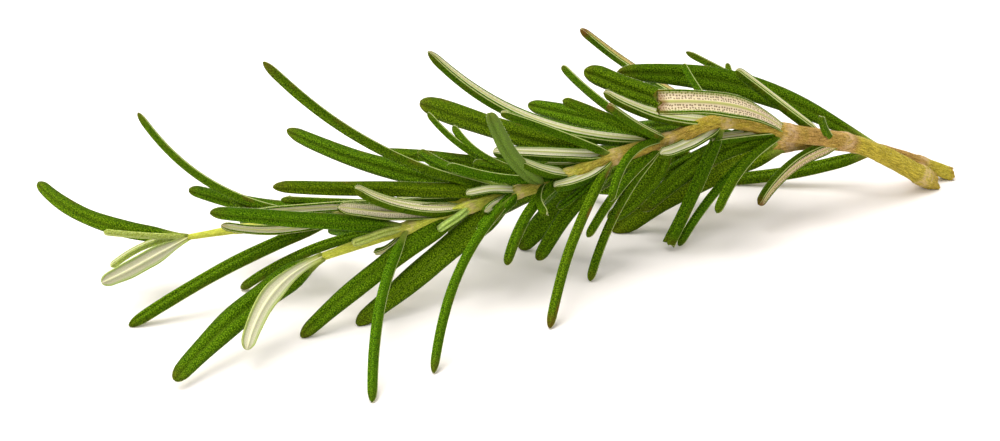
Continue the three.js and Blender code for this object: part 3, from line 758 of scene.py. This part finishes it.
def add_stem(skin, down, stem, seed):
    facts = STEMS[stem]
    draw = np.random.default_rng(seed)
    phases = draw.uniform(0, 2 * math.pi, 6)
    last = len(facts["points"]) - 1
    knots = np.array(facts["points"], float)
    length = float(np.linalg.norm(np.diff(knots, axis=0), axis=1).sum())
    rows = []  # of (ring of points, along, bark, fresh, node)
    travelled = 0
    before = stem_place(stem, 0)[0]
    for place in np.linspace(0, last, int(length / STEM_STEP)):
        centre, heading = stem_place(stem, place)
        travelled += float(np.linalg.norm(centre - before))
        before = centre
        up = unit(np.array([0, 0, 1]) - heading[2] * heading)
        right = np.cross(heading, up)
        shape, node = stem_shape(facts, place, length, travelled, phases)
        slant = cut_slant(shape, heading, travelled, phases) if facts["cut"] else 0 * ANGLES
        ring = (
            centre
            + np.outer(np.cos(ANGLES) * shape, up)
            + np.outer(np.sin(ANGLES) * shape, right)
            + np.outer(slant, heading)
        )
        rows.append((ring, travelled, *bark_at(stem, place), node))
    stem_hairs(down, [row[0] for row in rows], draw)

    start = stem_place(stem, 0)[0]
    if facts["cut"]:
        rows = cut_face(stem, rows[0][0], phases) + rows
        start = rows[0][0].mean(axis=0)
    end, heading = stem_place(stem, last)
    end = end + heading * facts["radii"][1] * END_CAP
    rings, *columns = zip(*rows)
    points = np.vstack([*rings, start[None, :], end[None, :]])
    points[:, 2] = np.maximum(points[:, 2], 0)
    values = {
        name: np.append(np.repeat(numbers, STEM_SIDES), [numbers[0], numbers[-1]])
        for name, numbers in zip(("along", "bark", "fresh", "node"), columns)
    }
    values["turn_x"] = np.append(np.tile(np.cos(ANGLES), len(rings)), [0, 0])
    values["turn_y"] = np.append(np.tile(np.sin(ANGLES), len(rings)), [0, 0])
    faces = loft_faces(len(rings), STEM_SIDES)
    skin.add(points, faces, [0] * len(faces), values)


# ---- Materials ---------------------------


class Paint:
    """A material with a Principled shader and short ways to add nodes to it."""

    def __init__(self, name):
        self.material = bpy.data.materials.new(name)
        self.material.use_nodes = True
        self.tree = self.material.node_tree
        self.tree.nodes.clear()
        self.shader = self.tree.nodes.new("ShaderNodeBsdfPrincipled")
        output = self.tree.nodes.new("ShaderNodeOutputMaterial")
        self.feed(output.inputs["Surface"], self.shader.outputs[0])
        self.place = self.node("ShaderNodeTexCoord", "Object", {})

    def feed(self, target, value):
        """Sets an input to a number or colour, or links a socket to it."""
        if isinstance(value, bpy.types.NodeSocket):
            self.tree.links.new(value, target)
        elif isinstance(value, (tuple, list)) and len(value) == 3 and target.type == "RGBA":
            target.default_value = (*value, 1)
        else:
            target.default_value = value

    def node(self, kind, output, inputs, **settings):
        """Adds a node with its settings and inputs, and gives one of its outputs."""
        node = self.tree.nodes.new(kind)
        for key, value in settings.items():
            setattr(node, key, value)
        for key, value in inputs.items():
            self.feed(node.inputs[key], value)
        return node.outputs[output]

    def attribute(self, name):
        return self.node("ShaderNodeAttribute", "Fac", {}, attribute_name=name)

    def attributes(self, *names):
        return [self.attribute(name) for name in names]

    def math(self, operation, first, second=0.0, clamp=False):
        inputs = {0: first, 1: second}
        return self.node("ShaderNodeMath", 0, inputs, operation=operation, use_clamp=clamp)

    def product(self, first, second, clamp=False):
        return self.math("MULTIPLY", first, second, clamp)

    def step(self, value, low, high, bottom=0.0, top=1.0):
        """Smoothly from bottom to top as value goes from low to high."""
        inputs = {"Value": value, "From Min": low, "From Max": high, "To Min": bottom, "To Max": top}
        return self.node("ShaderNodeMapRange", 0, inputs, interpolation_type="SMOOTHSTEP")

    def mix(self, share, first, second, blend="MIX"):
        """From the first colour to the second as share goes from 0 to 1."""
        inputs = {0: share, 6: first, 7: second}
        return self.node("ShaderNodeMix", 2, inputs, data_type="RGBA", blend_type=blend)

    def times(self, first, second):
        return self.mix(1, first, second, "MULTIPLY")

    def noise(self, scale, detail=2.0, roughness=0.5, place=None):
        """Soft grain, with scale in cells a metre, or in cells a unit of place if that is given."""
        place = self.place if place is None else place
        inputs = {"Vector": place, "Scale": scale, "Detail": detail, "Roughness": roughness}
        return self.node("ShaderNodeTexNoise", 0, inputs)

    def cells(self, scale, place, disorder):
        """Distance from the middles of cells spread over a flat place."""
        inputs = {"Vector": place, "Scale": scale, "Randomness": disorder}
        return self.node("ShaderNodeTexVoronoi", "Distance", inputs, voronoi_dimensions="2D")

    def vector(self, x, y, z):
        return self.node("ShaderNodeCombineXYZ", 0, {0: x, 1: y, 2: z})

    def bump(self, height, depth, strength, below=None):
        """Relief of a depth in mm, on top of the relief below."""
        inputs = {"Height": height, "Strength": strength, "Distance": depth * MM}
        if below is not None:
            inputs["Normal"] = below
        return self.node("ShaderNodeBump", 0, inputs)

    def surface(self, colour, roughness, gloss, relief=None):
        self.feed(self.shader.inputs["Base Color"], colour)
        self.feed(self.shader.inputs["Roughness"], roughness)
        self.shader.inputs["Specular IOR Level"].default_value = gloss
        if relief is not None:
            self.feed(self.shader.inputs["Normal"], relief)

    def glow(self, weight, colours, depth):
        """Light that goes under the skin: its share, the reach of each colour, and mm."""
        self.shader.inputs["Subsurface Weight"].default_value = weight
        self.shader.inputs["Subsurface Radius"].default_value = colours
        self.shader.inputs["Subsurface Scale"].default_value = depth * MM


# Stretches of a blade: across it in half widths, along it in shares of its length.
GROOVE = (0.03, 0.14)
ROLLED = (0.55, 0.95)
MARGIN = (0.86, 1)
BARE_BASE = (0.02, 0.16)
BROWN_TIP = (0.9, 1.02)
RIB = (0.07, 0.17)
BESIDE_RIB = (0.14, 0.24)
FELT_EDGE = (0.56, 0.72)
FELT_BASE = (0.02, 0.22)
FELT_TIP = (0.93, 1)
# The rolled margin's pale line, of down with a painted rim highlight: where it starts and ends, between
# upper face (0) and felt (1).
PALE_LINE_FROM = (0.2, 0.34)
PALE_LINE_TO = (0.4, 0.55)

# Pebbles a mm of the upper face. Pits: rows in a half width of felt, and columns in its length.
PEBBLES = 3.3
PIT_ROWS = 4.6
PIT_COLUMNS = 58


def leaf_upper():
    paint = Paint("leaf_upper")
    across = paint.math("ABSOLUTE", paint.attribute("across"))
    along, under, youth, worn = paint.attributes("along", "under", "youth", "worn")
    # a pebbled skin: each pebble carries a painted highlight, weaker where the blade rolls down
    blade = paint.vector(paint.attribute("round"), paint.attribute("run"), 0)
    pebble = paint.step(paint.cells(PEBBLES, blade, 0.85), 0.08, 0.42, 1, 0)
    grain = paint.step(paint.noise(5200, 3, 0.7), 0.36, 0.64)
    rolled = paint.step(across, *ROLLED)
    pebble_highlight = paint.product(pebble, paint.math("SUBTRACT", 0.55, paint.product(rolled, 0.35)))
    dark = paint.mix(grain, (0.02, 0.047, 0.0005), (0.13, 0.205, 0.002))
    dark = paint.mix(pebble_highlight, dark, (0.4, 0.56, 0.02))
    fresh = paint.mix(grain, (0.018, 0.064, 0.001), (0.09, 0.205, 0.002))
    fresh = paint.mix(pebble_highlight, fresh, (0.34, 0.6, 0.015))
    pale = paint.mix(grain, (0.44, 0.5, 0.07), (0.64, 0.68, 0.2))
    colour = paint.mix(paint.step(youth, 0, 1), dark, fresh)
    colour = paint.mix(paint.step(youth, 0.6, 1), colour, pale)
    # no two leaves are quite the same green
    tint = paint.mix(paint.attribute("seed"), (0.78, 1, 1), (0.97, 0.99, 1))
    colour = paint.times(colour, tint)
    # the groove along the middle holds pale down
    tufts = paint.step(paint.noise(1500, 2), 0.35, 0.65, 0.1, 0.4)
    groove = paint.product(paint.step(across, *GROOVE, 1, 0), tufts)
    colour = paint.mix(groove, colour, (0.2, 0.32, 0.02))
    # the rolled margins carry painted shade, with a pale line of down that also holds a painted rim
    # highlight, and the bare base is yellower
    colour = paint.mix(paint.product(rolled, 0.3), colour, (0.012, 0.035, 0.0005))
    line = paint.product(paint.step(under, *PALE_LINE_FROM), paint.step(under, *PALE_LINE_TO, 0.9, 0))
    colour = paint.mix(line, colour, (0.6, 0.66, 0.24))
    colour = paint.mix(paint.step(along, *BARE_BASE, 0.75, 0), colour, (0.36, 0.42, 0.07))
    # some carry a grey bloom
    colour = paint.mix(paint.attribute("grey"), colour, (0.2, 0.28, 0.06))
    # browning from the tip inwards, and here and there along the margins
    patch = paint.step(paint.noise(500, 3), 0.3, 0.7, 0.5, 1.2)
    tip = paint.product(paint.product(paint.step(along, *BROWN_TIP), patch), worn, clamp=True)
    rim = paint.product(paint.step(across, *MARGIN), paint.step(paint.noise(350, 2), 0.52, 0.68))
    rim = paint.product(rim, paint.product(worn, 0.8), clamp=True)
    colour = paint.mix(paint.math("MAXIMUM", tip, rim), colour, (0.17, 0.075, 0.015))
    relief = paint.bump(grain, 0.03, 0.5, paint.bump(pebble, 0.1, 1))
    paint.surface(colour, paint.step(paint.noise(1500, 2), 0.3, 0.7, 0.36, 0.56), 0.015, relief)
    paint.glow(0.08, (0.5, 1.0, 0.1), 0.5)
    return paint.material


def leaf_felt():
    paint = Paint("leaf_felt")
    across = paint.math("ABSOLUTE", paint.attribute("across"))
    along, youth, worn, tan = paint.attributes("along", "youth", "worn", "tan")
    wool = paint.noise(5000, 3, 0.7)
    old = paint.mix(wool, (0.66, 0.65, 0.4), (0.95, 0.93, 0.72))
    young = paint.mix(wool, (0.46, 0.47, 0.27), (0.68, 0.655, 0.48))
    browned = paint.mix(wool, (0.6, 0.45, 0.24), (0.88, 0.76, 0.54))
    colour = paint.mix(tan, paint.mix(youth, old, young), browned)
    # a withered leaf goes brown all over
    colour = paint.mix(paint.step(worn, 1, 1.6, 0, 0.7), colour, (0.34, 0.17, 0.05))
    # rows of dark pits, either side of the midrib, that show once the felt has worn
    rows = paint.vector(paint.product(across, PIT_ROWS), paint.product(along, PIT_COLUMNS), 0)
    pits = paint.step(paint.cells(1, rows, 0.45), 0.2, 0.42, 1, 0)
    pits = paint.product(pits, paint.step(across, *BESIDE_RIB))
    pits = paint.product(pits, paint.step(tan, 0, 0.7, 0.12, 0.9))
    colour = paint.mix(pits, colour, (0.15, 0.09, 0.04))
    # a young leaf has a green base, and the midrib is pale on young leaves and green on old ones
    base = paint.product(paint.step(along, *FELT_BASE, 0.9, 0), youth)
    colour = paint.mix(base, colour, (0.5, 0.56, 0.1))
    rib_colour = paint.mix(paint.step(youth, 0.55, 0.9), (0.36, 0.38, 0.07), (0.8, 0.78, 0.5))
    colour = paint.mix(paint.product(paint.step(across, *RIB, 1, 0), 0.8), colour, rib_colour)
    # the green skin shows through along the edge, and the tip browns with wear
    colour = paint.mix(paint.step(across, *FELT_EDGE, 0, 0.55), colour, (0.2, 0.3, 0.03))
    tip = paint.product(paint.step(along, *FELT_TIP), worn, clamp=True)
    colour = paint.mix(tip, colour, (0.2, 0.1, 0.03))
    paint.surface(colour, 0.85, 0.1, paint.bump(wool, 0.06, 0.7))
    paint.shader.inputs["Sheen Weight"].default_value = 0.1
    paint.shader.inputs["Sheen Roughness"].default_value = 0.5
    paint.glow(0.2, (0.6, 1.0, 0.3), 0.5)
    return paint.material


STRETCH = 0.12  # how much the way along a stem counts in its grain


def stem_bark():
    paint = Paint("stem_bark")
    along, bark, fresh, node = paint.attributes("along", "bark", "fresh", "node")
    turn_x, turn_y = paint.attributes("turn_x", "turn_y")
    grain = paint.vector(turn_x, turn_y, paint.product(along, STRETCH))
    streaks = paint.step(paint.noise(5, 3, 0.6, grain), 0.2, 0.8)
    speckle = paint.step(paint.noise(4600, 3, 0.75), 0.35, 0.65)
    streaks = paint.math("ADD", paint.product(streaks, 0.6), paint.product(speckle, 0.4))
    olive = paint.mix(streaks, (0.2, 0.155, 0.01), (0.62, 0.475, 0.065))
    pink = paint.mix(streaks, (0.15, 0.075, 0.012), (0.6, 0.37, 0.13))
    green = paint.mix(streaks, (0.42, 0.46, 0.03), (0.7, 0.72, 0.14))
    # pinkish bark comes in blotches, and has cracks
    blotches = paint.step(paint.noise(420, 3, 0.6), 0.3, 0.7, -0.3, 0.3)
    share = paint.math("ADD", bark, blotches, clamp=True)
    share = paint.product(share, paint.step(bark, 0, 0.12))
    colour = paint.mix(share, paint.mix(fresh, olive, green), pink)
    cracks = paint.step(paint.noise(16, 3, 0.7, grain), 0.6, 0.72)
    colour = paint.mix(paint.product(cracks, paint.product(share, 0.6)), colour, (0.2, 0.09, 0.03))
    # fine dark fibres run along the stem
    fibres = paint.step(paint.noise(11, 3, 0.7, grain), 0.4, 0.6)
    colour = paint.times(colour, paint.mix(fibres, (0.64, 0.64, 0.45), (1.2, 1.2, 1.0)))
    # pale scars round the nodes
    scar = paint.product(node, paint.step(paint.noise(1300, 2), 0.4, 0.6, 0.1, 0.5))
    colour = paint.mix(scar, colour, (0.7, 0.5, 0.3))
    # the cut face: bark is below zero there, and node goes from the pith to the rim
    wood = paint.mix(node, (0.3, 0.17, 0.04), (0.36, 0.2, 0.06))
    wood = paint.mix(paint.step(paint.noise(2200, 3), 0.35, 0.65), wood, (0.6, 0.46, 0.2))
    colour = paint.mix(paint.step(bark, -0.5, -0.05, 1, 0), colour, wood)
    # fine white down catches the light
    down = paint.step(paint.noise(6500, 2, 0.7), 0.56, 0.7, 0, 0.15)
    colour = paint.mix(down, colour, (0.75, 0.66, 0.25))
    relief = paint.bump(paint.noise(5000, 3, 0.6), 0.05, 0.6, paint.bump(streaks, 0.15, 0.5))
    paint.surface(colour, 0.62, 0.08, relief)
    paint.glow(0.1, (0.8, 0.8, 0.2), 0.5)
    return paint.material


def hair_down():
    paint = Paint("hair_down")
    colour = paint.mix(paint.noise(900, 2), (0.55, 0.64, 0.16), (0.86, 0.88, 0.42))
    paint.surface(colour, 0.7, 0.1)
    paint.glow(0.3, (1.0, 1.0, 0.6), 0.3)
    return paint.material


# ---- The sprig ---------------------------

SLOTS = {"main": "leaf", "second": "leaf", "side": "young_leaf"}
LEAF_SEEDS = 1000  # from one stem's first leaf to the next stem's
STEM_SEED = 50

upper, felt, bark, hair = leaf_upper(), leaf_felt(), stem_bark(), hair_down()
for number, stem in enumerate(STEMS):
    skin, down = Skin(), Skin()
    seen = [seen_leaf(stem, leaf) for leaf in LEAVES[stem]]
    for index, leaf in enumerate(seen + back_leaves(stem)):
        add_leaf(skin, down, leaf, LEAF_SEEDS * number + index)
    skin.make(f"{stem}_leaves", [upper, felt], f"{stem}_shoot", SLOTS[stem])
    skin = Skin()
    add_stem(skin, down, stem, STEM_SEED + number)
    skin.make(f"{stem}_stem", [bark], f"{stem}_shoot", "stem")
    down.make(f"{stem}_down", [hair], f"{stem}_shoot", SLOTS[stem])

# ---- Floor and light ---------------------

# a floor 6 m square
floor_mesh = bpy.data.meshes.new("floor")
floor_mesh.from_pydata([(-3, -3, 0), (3, -3, 0), (3, 3, 0), (-3, 3, 0)], [], [(0, 1, 2, 3)])
floor = bpy.data.objects.new("floor", floor_mesh)
bpy.context.scene.collection.objects.link(floor)
floor_paint = Paint("floor")
floor_paint.surface((0.95, 0.905, 0.89), 0.6, 0.5)
floor_mesh.materials.append(floor_paint.material)

world = bpy.data.worlds.new("studio")
bpy.context.scene.world = world
world.use_nodes = True
sky = world.node_tree.nodes["Background"]
sky.inputs["Color"].default_value = (1, 0.985, 0.965, 1)
sky.inputs["Strength"].default_value = 0.87

# the key lamp: a square of light, turned to face the sprig
KEY_PLACE = (-0.3, 0.05, 0.85)
lamp_data = bpy.data.lights.new("key", "AREA")
lamp_data.shape = "RECTANGLE"
lamp_data.size, lamp_data.size_y = 0.8, 0.8
lamp_data.energy = 10
lamp_data.color = (1, 0.98, 0.945)
lamp = bpy.data.objects.new("key", lamp_data)
lamp.location = KEY_PLACE
x, y, z = KEY_PLACE
lamp.rotation_euler = (math.atan2(math.hypot(x, y), z), 0, math.pi + math.atan2(-x, y))
bpy.context.scene.collection.objects.link(lamp)

bpy.context.scene.view_settings.view_transform = "Standard"
bpy.context.scene.view_settings.look = "None"
